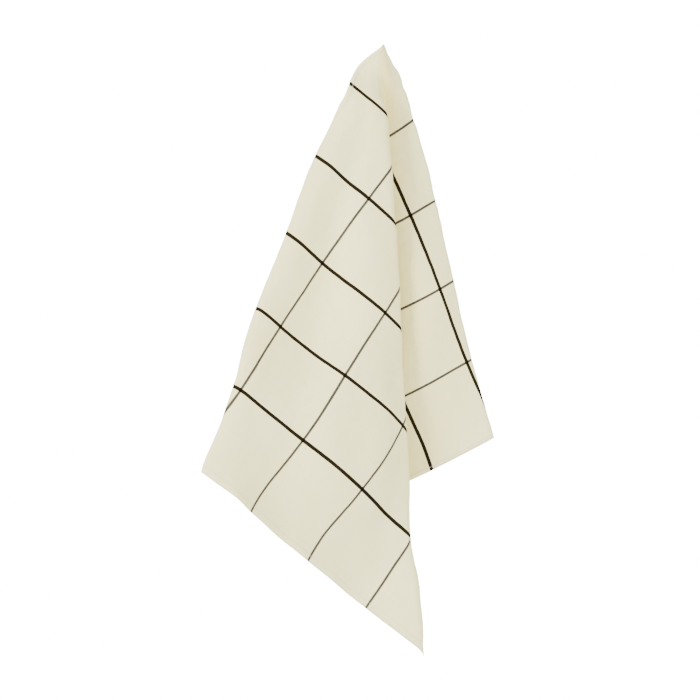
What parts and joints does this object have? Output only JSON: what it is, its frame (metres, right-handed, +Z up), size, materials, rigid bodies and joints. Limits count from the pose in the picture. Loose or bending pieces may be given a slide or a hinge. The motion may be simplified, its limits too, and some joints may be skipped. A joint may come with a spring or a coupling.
{
  "type": "towel",
  "caption": "Woven cotton kitchen towel with a wide check of thick and thin lines, hung by one point of a long edge so that it falls in folds to a low corner.",
  "frame": {"origin": "the towel's highest point, where it is held up", "axes": "+Z up, the way the towel hangs; -Y the side that faces the viewer; +X the viewer's right"},
  "size_m": [0.355, 0.1903, 0.7508],
  "materials": {
    "cream_cotton": "matt plain weave, off-white, with a woven check of thick dark lines one way and thin dark lines both ways round"
  },
  "bodies": {
    "root": {"towel": "cream_cotton"}
  },
  "joints": []
}
